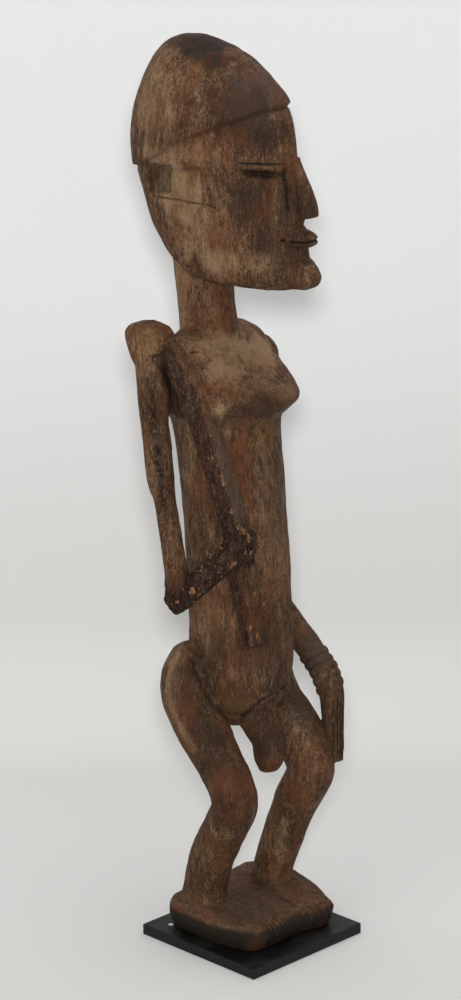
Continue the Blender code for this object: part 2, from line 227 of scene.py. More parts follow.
def cellNoise(points, seed):
    # distance to the nearest of one scattered point per cell, and that point's own number
    low = np.floor(points)
    nearest, own = np.full(len(points), 9.0), np.zeros(len(points))
    for dx in (-1, 0, 1):
        for dy in (-1, 0, 1):
            for dz in (-1, 0, 1):
                cell = low + np.array([dx, dy, dz])
                spot = cell + np.stack([cellHash(cell, seed + k) for k in range(3)], axis=-1)
                distance = np.linalg.norm(points - spot, axis=1)
                closer = distance < nearest
                own = np.where(closer, cellHash(cell, seed + 5), own)
                nearest = np.where(closer, distance, nearest)
    return nearest, own


def step(values, low, high):
    t = np.clip((values - low) / (high - low), 0, 1)
    return t * t * (3 - 2 * t)


def lineDistance(points, line):
    # distance to a line of straight stretches, the share of its length at the nearest place,
    # and the way there
    line = np.array(line, dtype=float)
    lengths = np.linalg.norm(np.diff(line, axis=0), axis=1)
    nearest, share, gone = np.full(len(points), np.inf), np.zeros(len(points)), 0.0
    offset = np.zeros(points.shape)
    for a, b, length in zip(line[:-1], line[1:], lengths):
        along = np.clip((points - a) @ (b - a) / length ** 2, 0, 1)
        away = points - a - along[:, None] * (b - a)
        distance = np.linalg.norm(away, axis=1)
        closer = distance < nearest
        share = np.where(closer, (gone + along * length) / lengths.sum(), share)
        nearest = np.where(closer, distance, nearest)
        offset = np.where(closer[:, None], away, offset)
        gone += length
    return nearest, share, offset


# Stations are in parts above the block's top: x, y, z, half width, half depth.

skin = {
    "steps": 8,
    "sides": 40,
    "voxel": 0.0009,
    "smoothing": 5,
    "triangles": 192000,
}
block = {
    "side": 0.095, "corner": 0.018, "height": 0.0157, "rise": 0.008, "lean": 0.004, "bulge": 0.005,
    "near": 0.0055, "redCorner": (-34, -38, -11), "cornerSize": (11, 11, 12),
    "front": [(-0.050, 0.0070), (-0.004, 0.0066), (-0.0035, 0.0080), (0.012, 0.0072), (0.033, 0.0024),
              (0.050, 0.0010)],     # how far the front is cut back: x, inset
    "profile": [(0.0, 0.2, 1.0), (0.3, 0.06, 1.0), (0.55, 0.0, 1.0), (0.75, 0.04, 1.0), (0.9, 0.16, 1.0),
                (0.99, 0.4, 1.0), (1.04, 0.4, 0.88), (1.08, 0.4, 0.7), (1.10, 0.4, 0.4)],
}
limbs = {
    "rightLeg": [
        (-32, 22, 197, 11.5, 12.5), (-35, 26, 186, 17.5, 18), (-36.5, 26, 168, 19.3, 21.8),
        (-37, 18, 150, 19, 20), (-36.7, 6.7, 133, 17.8, 17), (-37.2, -6, 119, 17.2, 15),
        (-38.5, -17, 106, 17, 14.5), (-38, -20, 94, 16.5, 15), (-36.5, -13.5, 80, 16, 15.5),
        (-34.5, -2, 62, 16, 15.5), (-32.5, 8.5, 43, 15.5, 15.5), (-31, 15, 24, 15, 15),
        (-30, 19, 10, 15.5, 16), (-30, 20, -6, 17, 19)],
    "leftLeg": [
        (29, 20, 190, 9, 10), (33, 22.5, 181.5, 15.5, 16), (35.7, 23, 165, 18.3, 19.3),
        (36, 12, 146, 18.5, 18.5), (36, -5, 131, 18, 18), (36.5, -16, 117, 17.5, 18),
        (36.5, -22.5, 103, 17, 17), (36, -19, 90, 16.5, 16.5), (35, -10, 73, 16, 15.5),
        (34, -3, 55, 15.5, 15), (32.5, 2, 39, 15, 14.5), (31, 7, 22, 14, 14),
        (30, 9, 10, 14.5, 14.5), (30, 10, -6, 16, 17)],
    "rightUpperArm": [
        (-55, 38, 420, 8, 8), (-58, 39, 414, 12, 12), (-59, 38, 396, 11, 11.5),
        (-60, 36, 369, 9.8, 10), (-60, 33, 348, 9.5, 9.8), (-60, 30, 326, 9.2, 9.6),
        (-60, 26.5, 314, 7.6, 8), (-60, 21, 290, 7.4, 7.8), (-60, 16, 265, 7.4, 8),
        (-60, 15, 249, 7.8, 8.8), (-59, 16, 241, 7, 8)],
    "leftUpperArm": [
        (46, 38, 404, 8, 8), (51, 39.5, 395, 10.5, 10.5), (54.5, 42, 378, 10, 10.5),
        (58, 43, 350, 9.3, 9.6), (60, 42, 300, 9, 9.3), (61, 41, 250, 9, 9.4),
        (61, 39, 216, 9.5, 9.5), (61, 36, 204, 8, 8)],
    "leftForearm": [
        (61, 42, 212, 7, 7.5), (60.5, 35, 206, 9.5, 9.5), (59, 16, 193, 9.5, 9.8),
        (57.5, -6, 177.5, 9.3, 9.4), (56, -18, 167, 9.2, 9.4), (54, -26, 154, 8.4, 8.6),
        (52, -29.5, 138, 8, 7.6), (50, -32.5, 121, 7.8, 7.2), (48, -36, 106, 6.5, 5.5)],
    "shaft": [
        (-57, 40, 426, 8, 8), (-52, 26, 413, 9.5, 8.5), (-47, 10, 388, 9.8, 8.5),
        (-41, -1, 352, 9.8, 8.5), (-34.5, -9, 316, 9.3, 8.5), (-28, -14.5, 284, 8.5, 7.5),
        (-23.5, -16, 262, 7.3, 6), (-20.3, -17.8, 236, 6.8, 5.5), (-18, -19.3, 209, 6.8, 5.5)],
    "neck": [
        (0, 36, 396, 20, 20), (0, 40, 412, 20.5, 20.5), (0, 43.4, 427, 19.5, 19.5),
        (0, 46.5, 448, 19.2, 19.2), (0, 50, 472, 19.6, 19.6), (0, 52, 490, 20, 20)],
    "pendant": [
        (-2, 3, 170, 12, 9), (-5, -3, 157, 16, 11), (-3.5, -10, 146, 15, 11.5),
        (0, -16, 132, 13, 11), (0, -17, 118, 11.5, 10), (0, -16.5, 108, 7, 6)],
    "rightFoot": [
        (-30, 30, 2, 12, 6), (-30, 18, 5, 15, 8), (-29, 2, 3, 16, 6),
        (-28, -16, -1.5, 15.5, 5), (-25.5, -31, -4.5, 11.5, 4.5)],
    "leftFoot": [
        (30, 28, 2, 12, 6), (32.5, 13, 5, 18, 8), (33.5, -6, 3.5, 17, 7),
        (33.5, -23, 0.5, 14.5, 5.5), (32, -38, -5, 13, 5)],
    "toolHead": [
        (-58, 24, 424, 8, 8), (-59, 32, 425.5, 11, 11.5), (-59.5, 41, 423.5, 12, 15),
        (-60, 48, 419.5, 12, 16), (-60, 52, 417.5, 9.5, 13.5)],
    "rightForearm": [
        (-62, 19.5, 237.5, 6.5, 7), (-58, 14.5, 243, 8.2, 8.5), (-48, 4, 256.5, 8.3, 8.8),
        (-38.5, -7, 270.5, 8.5, 9.2), (-32.5, -13.5, 278, 8.8, 9.8), (-28, -17.5, 282.5, 8.5, 10.5),
        (-24.5, -19.5, 285, 6, 8)],
    "rightFist": [
        (-26, -19.5, 275.5, 5.5, 5.5), (-27, -19.5, 281, 7, 7.5), (-28.5, -18.5, 288, 7, 7.5),
        (-30.5, -16.5, 296, 6, 6)],
}
# Level sections: z, y, half width, depth to the front, depth to the back, squareness.
trunk = [
    (138, 13, 12, 9, 9, 2.0), (145, 12.5, 22, 18, 19, 2.0), (155, 12, 30, 28, 28, 2.1),
    (170, 11.5, 34.5, 34, 33.5, 2.1), (190, 11.5, 36, 36.5, 35.5, 2.1), (218, 12, 36, 36.5, 35.5, 2.1),
    (256, 14.2, 36, 36, 35.5, 2.1), (296, 18, 36, 36, 35.2, 2.1), (326, 21, 37, 35, 35, 2.1),
    (350, 24, 38, 34.3, 36.5, 2.1), (362, 26, 40, 34.5, 34.5, 2.3), (369, 27, 45, 41, 32, 2.5),
    (376, 28, 48.5, 47.5, 29, 2.7), (383, 28.5, 48.5, 45, 28, 2.6), (390, 29, 47.5, 38, 27, 2.5),
    (397, 30, 46.5, 29.5, 25, 2.4), (404, 32.5, 46, 23, 22, 2.4), (411, 35.5, 44, 18.5, 20, 2.4),
    (418, 38, 39.5, 15, 17, 2.3), (424, 40, 28, 11.5, 13, 2.2), (428, 41, 12, 7, 8, 2.0),
]
head = {
    "turn": 5.0,
    "pivot": 45.0,
    "sections": [
        (459, 18, 14, 40, 14, 2.2, 0.5), (463.5, 26, 25, 68, 24, 2.3, 0.5),
        (470, 34, 28, 81, 25.5, 2.3, 0.49), (479, 41.5, 30, 87, 28.5, 2.3, 0.47),
        (496, 44, 32.5, 86, 38.5, 2.3, 0.45),
        (516, 44.5, 35.5, 82, 46.5, 2.3, 0.42), (536, 45, 37.5, 79, 51, 2.3, 0.4),
        (553, 45.5, 38, 76, 53, 2.3, 0.36), (570, 46, 37.5, 73.5, 50.5, 2.3, 0.34),
        (586, 47, 36, 68, 45, 2.2, 0.32), (600, 49, 32.2, 56, 37.5, 2.1, 0.3),
        (612, 52, 25, 39.5, 27.5, 2.1, 0.25), (619, 55, 16, 23, 18, 2.0, 0.2),
        (623, 57, 7, 9, 8, 2.0, 0.1)],
    "nose": [(0, -32, 552, 4, 3.5), (0, -37, 540, 4, 5), (0, -44, 522, 5.5, 6), (0, -46, 513, 7, 4.5)],
    "mouth": [(0, -34, 498, 13, 6), (0, -43, 497, 10.5, 5.5), (0, -48, 496, 7, 3.5)],
    "beard": [(0, -12, 473, 21, 13), (0, -32, 474, 16, 13), (0, -44, 472, 10.5, 10), (0, -52, 470.5, 5.5, 5)],
    "cap": [(-34, 588), (-16, 584), (-8, 580), (0, 576), (9, 572), (20, 568), (31, 563), (43, 557),
            (59, 548), (77, 539), (93, 532)],   # border: y, z
    "capRise": 2.8,
    "ear": [(71, 519), (47, 522), (45, 543), (70, 541)],   # recess: y, z
}


def makeSkin():
    # every form's rings in one mesh, fused into one skin by a voxel remesh
    skull = turned(levelRings(head["sections"]), head["turn"])
    stacks = [onBlock(levelRings(trunk)), blockRings(), onBlock(skull)]
    for name, stations in limbs.items():
        squared = name in ("shaft", "toolHead", "rightFoot", "leftFoot")
        across = (0.7, 0.7, 0) if name == "rightForearm" else (1, 0, 0)
        stacks.append(onBlock(limbRings(stations, across, 3.0 if squared else 2.2)))
    for name in ("nose", "mouth", "beard"):
        stacks.append(onBlock(turned(limbRings(head[name]), head["turn"])))
    points, faces, first = [], [], 0
    for rings in stacks:
        more, tube = closedTube(rings, first)
        points.append(more)
        faces += tube
        first += len(more)
    thing = meshObject("carved_figure", np.vstack(points), faces)
    remesh = thing.modifiers.new("one skin", "REMESH")
    remesh.mode = "VOXEL"
    remesh.voxel_size = skin["voxel"]
    soften = thing.modifiers.new("soften", "SMOOTH")
    soften.factor = 0.5
    soften.iterations = skin["smoothing"]
    settle(thing)
    return thing


# Cuts into the skin in parts: line, half width, depth. Side cuts are y, z on both sides of the head.
sideCuts = [
    ([(45, 539.5), (33, 541.5), (23, 543)], 1.7, 1.2),
    ([(34, 541), (21, 542.5)], 2.4, 1.0),
    ([(65, 518), (40, 519), (18, 518), (12, 516.5)], 0.8, 1.2),
    ([(-5, 543), (-27, 541)], 2.6, 2.2),
    ([(-3, 549), (-29, 548.5)], 0.8, 0.8),
]
# Front cuts are x, z on the face, to the carver's own plain pattern of eyes, nose and lips.
frontCuts = [
    ([(8, 541), (24, 541.5)], 3.2, 2.6),
    ([(7, 548.5), (24, 549)], 0.9, 0.9),
    ([(-11, 497), (11, 497)], 1.0, 1.8),
    ([(-12, 506), (12, 506)], 1.8, 1.2),
    ([(8, 518), (6.5, 545)], 1.4, 1.2),
]
# Toes are x, z grooves down the block's front edge; body cuts are x, y, z.
toeCuts = ([([(x, 2), (x - 0.3, -12)], 0.7, 1.1) for x in (-21.5, -17.5, -13.5, -9.5, -5.5)]
           + [([(x, 2), (x + 0.3, -9)], 0.8, 0.8) for x in (17, 23, 29, 35, 41)])
# Fingers are x, z grooves down the left hand.
fingerCuts = [([(54 + x, 152), (52 + x, 138), (50 + x, 121), (48 + x, 106)], 0.8, 1.2)
              for x in (-5.5, -2.5, 0.5, 3.5)]
bodyCuts = [([(-36, -22, z), (-29, -29, z + 1), (-20, -28, z + 1.5)], 0.9, 1.1)
            for z in (277, 282, 287, 292)]
bodyCuts += [([(x, y, 430), (x + 1.5, y - 3, 414)], 0.8, 0.9)
             for x, y in ((-71, 40), (-70.5, 36), (-69.5, 31.5), (-68, 27))]
bodyCuts += [([(14.5, y, 7 + 0.06 * y), (18.5, y - 0.5, 9 + 0.08 * y)], 0.6, 0.9) for y in range(-30, 9, 4)]
bodyCuts += [
    ([(-44, 18, 198), (-45, 11, 185), (-42, 5, 173), (-36, 1, 162), (-28, -1, 153), (-21, -7, 151),
      (-15, -15, 158), (-10, -19, 164), (-2, -22, 167), (5, -22, 168), (17, -18, 169)], 1.5, 1.6),
    ([(-29.5, -8, 257), (-28, -12, 241), (-25.5, -16, 223), (-22.5, -20, 205), (-18, -22, 204),
      (-13, -24, 206)], 1.2, 2.0),
    ([(-18, -23, 262), (-14, -24, 242), (-11, -24, 211)], 1.1, 1.0),
    ([(15, 13, 8), (15, 4, 8), (16, -5, 6), (15, -16, 4), (15, -25, 3), (15, -33, 2)], 1.4, 1.5),
    ([(-66, 10, 250), (-58, 2, 258), (-46, -10, 270)], 0.8, 0.5),
    ([(-45, 10, 404), (-45, 4, 394), (-44, -1, 383), (-40, -4, 371), (-36, -7, 358), (-36, -11, 345),
      (-34, -14, 332), (-33, -18, 318)], 1.7, 0.9),
    ([(-62, 26, 411), (-57, 27, 399), (-50, 28, 387), (-48, 26, 377)], 1.4, 1.6),
    ([(-45, -3, 376), (-34, -11, 373), (-20, -17, 373), (-2, -19, 372), (13, -18, 372)], 1.6, 1.0),
    ([(20, -19, 123), (20, -17, 113), (20, -15, 106)], 0.9, 0.9),
    ([(-50, 27, 432), (-40, 31, 420), (-35, 26, 414), (-29, 24, 413)], 1.4, 1.3),
]
cracks = [
    ([(-22, 50, 618), (-30, 48, 608), (-36, 47, 596), (-38, 46, 587)], 0.5, 1.3),
    ([(-26, 31, 607), (-31, 26, 596), (-35, 23, 586), (-36, 22, 579)], 0.4, 0.9),
    ([(-38, 78, 552), (-39, 68, 556), (-40, 58, 549)], 0.4, 0.6),
    ([(-73, 40, 421), (-71, 37, 420), (-68, 31, 416), (-63, 25, 409), (-58, 18, 400)], 0.6, 1.8),
    ([(-12, 21, 416), (7, 14, 408), (18, 7, 400)], 0.5, 0.7),
    ([(4, 60, 600), (2, 84, 585), (0, 95, 560), (1, 92, 530)], 0.6, 1.5),
    ([(20, 45, 612), (32, 44, 596), (38, 42, 572)], 0.5, 1.0),
    ([(-10, 48, 215), (-9, 50, 260), (-11, 53, 330)], 0.6, 1.4),
    ([(18, 45, 180), (17, 47, 225)], 0.5, 1.0),
    ([(-33, -19, 308), (-30, -20, 296)], 0.6, 1.0),
    ([(-31, 30, 5), (-20, 44, 6), (-8, 47, 0)], 0.5, 1.0),
]
bracelets = {"start": (57.6, -4, 179.5), "end": (54.4, -25, 156), "rings": 5, "high": 1.2, "reach": 16.0}
pits = [(-22, 4, 398, 1.6, 1.0), (-39, 70, 567, 1.2, 0.6), (-40, 61, 566, 1.1, 0.6), (-41, 53, 565, 1.3, 0.7)]


def insideShare(y, z, corners, soft):
    # how far a point is inside a convex outline of y, z corners, as a soft share
    inside = np.full(len(y), 9.0)
    for (ay, az), (by, bz) in zip(corners, corners[1:] + corners[:1]):
        length = math.hypot(by - ay, bz - az)
        inside = np.minimum(inside, ((bz - az) * (y - ay) - (by - ay) * (z - az)) / length)
    return step(inside, -soft, soft)


crust = {
    "across": (0.70, -0.713, 0.0),    # from a bar's outer face to its inner flank
    "armStreak": 1.1,                 # how black the streak down the upper arm is
    "armFoot": 262,                   # below this the arm is black all round
    "fistFoot": 268,                  # below this the shaft goes on as a hanging bar
    "shaftEnd": (203, 207),
    "flakes": [                       # where it has come off: x, y, z, half width, half height
        (-48, -4, 371, 1.0, 2.4), (-48, -5, 364, 0.9, 2.0), (-43, -10, 350, 1.5, 3.5),
        (-43, -13, 333, 1.4, 5.0), (-40, -15, 325, 0.9, 3.0), (-39, -17, 310, 0.9, 3.0),
        (-37, -16, 300, 0.8, 2.0), (-42, -12, 341, 1.0, 3.0), (-32.5, -23, 296.5, 1.5, 3.4),
        (-30, -24.4, 290, 1.4, 4.0), (-36, -19, 284, 0.8, 1.6), (-32, -24, 280, 0.9, 2.0),
        (-37.6, -17.2, 271, 2.0, 4.8), (-40, -9, 282, 2.2, 0.9), (-44, -11, 268, 0.8, 1.6),
        (-49, -7, 262, 0.9, 1.6), (-57.3, 2.3, 252.5, 1.4, 2.8), (-58, 4, 251, 0.9, 1.6),
        (-65, 9, 244, 1.2, 1.6), (-66, 14, 242, 0.9, 1.4), (-53, -1, 248, 1.6, 2.6),
        (-62, 7, 253, 0.8, 1.4), (-54, 0, 254, 0.9, 1.6), (-70, 34, 371, 0.9, 3.0),
        (-25, -22, 223, 0.9, 2.0), (-20, -24, 216, 1.4, 2.2), (-26, -22, 213, 1.0, 1.6),
        (-69, 30, 352, 0.9, 2.6),
    ],
}


def nearBar(parts, stations, bound):
    # the soft share within bound half widths of a bar, and the place across it from -1 to 1
    line = np.array(stations)
    half = line[:, 3:].mean()
    distance, _, offset = lineDistance(parts, line[:, :3])
    return step(bound - distance / half, 0, 0.25), offset @ np.array(crust["across"]) / half


def crustShares(parts):
    # black crust on the shaft's outer face, the forearm and the fist, and smooth grey on the shaft's flank,
    # partly its worn surface and partly painted shade on that side
    z = parts[:, 2]
    onShaft, across = nearBar(parts, limbs["shaft"], 1.7)
    onShaft *= step(z, *crust["shaftEnd"])
    outer = step(0.45 - across, 0, 0.35) * (1 - 0.18 * step(z, 296, 318))
    hanging = 0.46 + 0.2 * step(-across, 0.3, 0.8)
    black = onShaft * np.where(z > crust["fistFoot"], outer, hanging)
    # painted shade: the shaft's inner flank is coloured a darker grey than plain wood, as the shade on that
    # side
    greyAndShade = onShaft * step(across, 0.1, 0.45) * step(z, 292, 306) * step(400 - z, 0, 45)
    onArm, across = nearBar(parts, limbs["rightUpperArm"], 1.45)
    streak = crust["armStreak"] * np.exp(-((across + 0.05) / 0.40) ** 2)
    streak *= step(z, 285, 340) * step(430 - z, 8, 30)
    arm = np.maximum(np.minimum(streak, 1), step(crust["armFoot"] - z, 0, 16))
    black = np.maximum(black, onArm * arm)
    for name in ("rightForearm", "rightFist"):
        black = np.maximum(black, nearBar(parts, limbs[name], 1.5)[0])
    return black, greyAndShade


surface = {
    "uneven": 0.7,                                       # slow unevenness over 30 parts
    "dish": 0.7, "dishTone": 0.3, "dishSize": (7.5, 7.5, 17),      # adze marks
    "lumps": 0.5, "lumpSize": (9, 9, 14),
    "grain": 0.09, "grainSize": (1.7, 1.7, 30),
    "fine": 0.06, "fineSize": (1.1, 1.1, 9),
    "openGrain": 0.22,
    "capGroove": 0.6,
    "earDepth": 2.6,
    "crustRough": 0.8, "crustFlake": 0.6, "flakeSize": (2.2, 2.2, 4.0),
    "chipDepth": 0.4,
}


def cutDepths(parts, onHead, isHead):
    # how deep the cuts, cracks and pits are at each point, and how much of that gets no painted shade line
    mirrored = np.column_stack([np.abs(onHead[:, 0]), onHead[:, 1:]])
    sideOf = isHead * step(mirrored[:, 0], 9, 14)
    frontOf = isHead * step(-onHead[:, 1], 2, 10)
    toesOf = step(-parts[:, 1], 27, 31) * step(8 - parts[:, 2], 0, 3)
    hand = [station[:3] for station in limbs["leftForearm"][5:]]
    handOf = step(10.5 - lineDistance(parts, hand)[0], 0, 1.5)
    cuts, faint = np.zeros(len(parts)), np.zeros(len(parts))
    for where, group, only in ((mirrored[:, 1:], sideCuts, sideOf), (mirrored[:, ::2], frontCuts, frontOf),
                               (parts[:, ::2], toeCuts, toesOf), (parts[:, ::2], fingerCuts, handOf),
                               (parts, bodyCuts, 1)):
        for line, width, depth in group:
            cut = only * depth * np.exp(-(lineDistance(where, line)[0] / width) ** 2)
            cuts += cut
            faint += cut * (0.65 if width > 1.5 else 0.0)
    sway = [smoothNoise(parts / 5, 41), smoothNoise(parts / 5, 42), np.zeros(len(parts))]
    shifted = parts + 0.6 * np.column_stack(sway)
    for line, width, depth in cracks:
        distance, share, _ = lineDistance(shifted, line)
        taper = np.clip(np.minimum(share, 1 - share) * 8, 0.3, 1)
        cuts += depth * taper * np.exp(-(distance / (width * (0.5 + 0.5 * taper))) ** 2)
    for x, y, z, wide, deep in pits:
        cuts += deep * np.exp(-(np.linalg.norm(parts - (x, y, z), axis=1) / wide) ** 2)
    return cuts, faint


def relief(parts):
    # how far the skin stands out or in at each point, in parts, and the soft shares that colour it, painted
    # shade in the hollows among them
    onHead = turned(parts, -head["turn"])
    isHead = step(parts[:, 2], 455, 466)
    black, greyAndShade = crustShares(parts)
    wobble = layeredNoise(parts / 30, 3)

    lift = surface["uneven"] * wobble
    facets, tone = cellNoise(parts / surface["dishSize"] + 0.35 * wobble[:, None], 11)
    dishes = surface["dish"] * (facets - 0.45) ** 2 + surface["dishTone"] * (tone - 0.5)
    lift += (1 - 0.5 * isHead) * dishes                             # shallower on the head
    lift += surface["lumps"] * layeredNoise(parts / surface["lumpSize"], 37, 2)
    grain = smoothNoise(parts / surface["grainSize"] + 0.6 * wobble[:, None], 23)
    fine = smoothNoise(parts / surface["fineSize"] + 3.1, 29)
    lift += surface["grain"] * grain + surface["fine"] * fine
    lift -= surface["openGrain"] * step(grain, 0.6, 0.9)

    capEdge = np.interp(onHead[:, 1], *np.array(head["cap"]).T) + 0.5 * wobble
    above = onHead[:, 2] - capEdge
    lift += head["capRise"] * step(above, 0, 1.6) * isHead
    lift -= surface["capGroove"] * isHead * np.exp(-(above + 0.7) ** 2)
    ear = insideShare(onHead[:, 1], onHead[:, 2], head["ear"], 1.8)
    ear *= step(np.abs(onHead[:, 0]), 20, 28) * isHead
    lift -= surface["earDepth"] * ear
    cuts, faint = cutDepths(parts, onHead, isHead)
    lift -= cuts

    start, end = np.array(bracelets["start"]), np.array(bracelets["end"])
    along = (parts - start) @ (end - start) / ((end - start) @ (end - start))
    distance = lineDistance(parts, (start, end))[0]
    band = (distance < bracelets["reach"]) & (along > 0) & (along < 1)
    rings = np.abs(np.sin(np.pi * bracelets["rings"] * along)) ** 0.6
    lift += band * bracelets["high"] * rings

    _, flakeTone = cellNoise(parts / surface["flakeSize"] + 0.6 * grain[:, None], 51)
    rough = layeredNoise(parts / 4.5, 61)
    lift += black * (surface["crustRough"] * rough + surface["crustFlake"] * (flakeTone - 0.6))
    chips = 0.8 * step(flakeTone, 0.84, 0.90) * step(0.70 - facets, 0, 0.3) * step(rough, -0.2, 0.2)
    for x, y, z, wide, high in crust["flakes"]:
        away = np.linalg.norm((parts - (x, y, z)) / np.array([wide, 1.7 * wide, high]), axis=1)
        chips = np.maximum(chips, step(1.6 - away, 0, 1.1))
    chips *= step(black, 0.1, 0.5)
    lift -= surface["chipDepth"] * chips
    # painted shade: the cuts, cracks, pits, the ear's recess, the groove under the cap's border and the
    # grooves between the bracelets are coloured darker
    border = isHead * np.exp(-((above + 0.6) / 0.8) ** 2)
    hollowShade = np.clip(cuts - faint + 0.9 * ear + 0.9 * border + band * (0.8 - rings) * 1.2, 0, 2)
    return lift, {"crust": black * (1 - greyAndShade), "greyAndShade": greyAndShade, "chips": chips, "hollowShade": hollowShade}


def carve(thing):
    points, normals = vertexArrays(thing.data)
    lift, _ = relief(toParts(points))
    foot = points[:, 2] < figureLow.z + 0.8 * skin["voxel"]
    points += normals * np.where(foot, 0, lift)[:, None] * part
    points[:, 2] = np.where(foot, figureLow.z, np.maximum(points[:, 2], figureLow.z + 0.0001))
    thing.data.vertices.foreach_set("co", points.ravel())
    thing.data.update()


def thinOut(thing, count):
    triangles = sum(len(p.vertices) - 2 for p in thing.data.polygons)
    if triangles > count:
        thin = thing.modifiers.new("thin out", "DECIMATE")
        thin.ratio = count / triangles
        thin.use_collapse_triangulate = True
        settle(thing)


# Stains, wear, painted shade and painted highlight in parts: x, y, z, half width, half height, strength
stains = {
    # The dark spots under the chest, between the shaft and the upper arm, under the belly and in the groin
    # are painted shade; the others are dark patina
    "sootAndShade": [
        (-8, 40, 622, 19, 9, 1.7), (-14, 26, 615, 12, 7, 1.3), (-23, 0, 592, 15, 15, 0.6),
        (-16, -8, 580, 16, 14, 0.8), (-30, 4, 573, 9, 9, 0.4), (-10, -18, 568, 16, 11, 0.9),
        (-14, -12, 590, 12, 12, 0.8), (-24, 12, 600, 10, 10, 0.3), (-4, -38, 512, 16, 46, 0.6),
        (-16, -13, 522, 15, 20, 0.75), (-11, -22, 500, 13, 15, 0.75), (-20, -4, 512, 9, 16, 0.5),
        (-10, -17, 377, 32, 8, 0.6), (-48, 28, 385, 10, 14, 0.8), (-2, -18, 190, 16, 30, 0.35),
        (-50, -2, 146, 16, 28, 0.75), (30, -22, 138, 16, 26, 0.2), (-33, 0, 25, 22, 12, 0.35),
        (0, 75, 560, 30, 40, 0.25), (20, 50, 300, 22, 60, 0.3), (-44, 12, 175, 20, 28, 0.7),
        (-40, -8, 118, 20, 22, 0.6), (-38, 0, 60, 20, 40, 0.4), (50, -32, 130, 12, 34, 0.9),
        (-4, -16, 134, 15, 26, 0.7), (28, 4, 160, 16, 20, 0.4), (24, -20, 120, 14, 20, 0.3),
        (36, -14, 146, 10, 20, 0.6), (2, -22, 174, 12, 16, 0.9), (0, -14, 214, 28, 30, 0.4),
        (-38, -3, 208, 12, 18, 0.55), (-22, -8, 165, 22, 16, 0.75), (-48, -24, 96, 18, 20, 1.2),
        (24, -12, 58, 18, 22, 0.4), (-50, 2, 130, 20, 26, 0.5), (-70, 30, 375, 8, 30, 0.5),
        (-60, 14, 250, 12, 16, 0.9),
    ],
    # The tan spots on the tops of the shoulders and chest are partly painted highlight, lighter where the
    # light from above falls; elsewhere tan is lighter worn wood
    "tan": [
        (-38, 62, 592, 26, 30, 0.8), (-40, 50, 547, 20, 9, 0.7), (-34, 24, 553, 16, 9, 0.8),
        (-37, 38, 522, 20, 26, 1.3), (-25, 4, 505, 12, 18, 0.35), (-34, 30, 498, 20, 20, 0.6),
        (-24, 9, 479, 18, 9, 1.25), (-10, -16, 480, 14, 8, 0.6), (-19, 50, 451, 9, 40, 0.95),
        (-10, 20, 414, 24, 9, 1.2), (-26, 26, 417, 14, 8, 0.8), (0, 12, 404, 40, 16, 0.5),
        (16, 13, 408, 22, 12, 1.9), (-20, 8, 400, 18, 9, 1.3), (27, 18, 408, 12, 11, 1.9),
        (20, -13, 384, 18, 7, 0.6), (-39, -6, 380, 6, 6, 1.1), (-30, -2, 365, 6, 14, 0.6),
        (4, -16, 266, 16, 26, 0.35), (-36, 8, 222, 12, 30, 0.45), (-29, -10, 225, 4, 14, 0.7),
        (-46, 30, 195, 14, 14, 0.5), (-56, 22, 165, 7, 30, 0.7), (20, -11, 56, 4, 9, 1.1),
        (20, -4, 44, 10, 26, 0.4), (-38, 24, 335, 8, 36, 0.5), (22, -20, 130, 12, 22, 0.35),
        (-70, 36, 408, 8, 14, 0.7), (-70, 36, 424, 12, 9, 0.8), (-69, 30, 345, 6, 50, 0.5),
        (24, 26, 418, 16, 8, 0.6),
    ],
    "red": [
        (-24, 8, 592, 10, 12, 0.4), (-13, -19, 516, 6, 7, 0.8), (-28, -2, 392, 14, 12, 0.6),
        (-21, -8, 336, 10, 34, 0.9), (-24, -12, 170, 16, 14, 0.7), (-51, -27, 104, 15, 22, 1.7),
        (-46, -8, 55, 12, 22, 0.6), (-20, 8, 392, 20, 8, 0.4), (0, -14, 382, 26, 7, 0.2),
        (21, -24, 86, 14, 14, 0.7), (-36, -40, -12, 10, 8, 0.8), (-9, -19, 115, 9, 9, 0.7),
        (-56, 20, 150, 8, 34, 0.5), (-20, -23, 226, 10, 24, 0.9), (0, -14, 250, 20, 26, 0.4),
        (22, -3, 20, 12, 14, 0.6), (-3, 28, 448, 10, 24, 0.5), (55, 2, 190, 8, 10, 0.5),
        (26, -34, 118, 10, 22, 0.5),
    ],
    "yellow": [
        (2, -10, 354, 11, 12, 0.8), (-69, 34, 426, 9, 9, 1.2), (-26, -8, 161, 12, 10, 0.7),
        (-47, -33, 97, 6, 8, 0.7), (-52, -28, 113, 6, 6, 0.7), (-50, 0, 52, 8, 12, 0.5),
        (-44, 10, 320, 7, 60, 0.4), (48, -34, 140, 8, 26, 0.4), (-34, 30, 540, 8, 8, 0.3),
    ],
    "greyAndShade": [
        (55, -12, 178, 15, 26, 1.3), (34, -18, 150, 12, 24, 1.1), (-15, 0, 6, 45, 8, 0.75),
        (20, -10, 6, 30, 7, 0.5), (-8, -8, 594, 20, 20, 1.0), (-8, 38, 621, 20, 9, 0.9),
        (4, -16, 308, 16, 40, 0.5), (-6, -18, 190, 16, 22, 0.4),
    ],
    "worn": [
        (-38, 82, 562, 12, 16, 1.0), (-39, 70, 545, 10, 10, 0.6), (-38, 50, 530, 12, 12, 0.4),
        (-8, -20, 172, 22, 18, 0.9), (28, -18, 122, 14, 30, 0.9), (-46, -26, 94, 14, 16, 0.6),
        (-42, -2, 50, 14, 30, 0.7), (-70, 36, 424, 12, 12, 1.0), (-68, 32, 370, 10, 50, 0.6),
        (2, -14, 340, 14, 26, 0.5), (-38, 0, 170, 14, 24, 0.5), (16, 10, 405, 9, 7, 1.0),
        (22, -14, 60, 10, 24, 0.7), (48, -34, 135, 10, 26, 0.6),
    ],
}
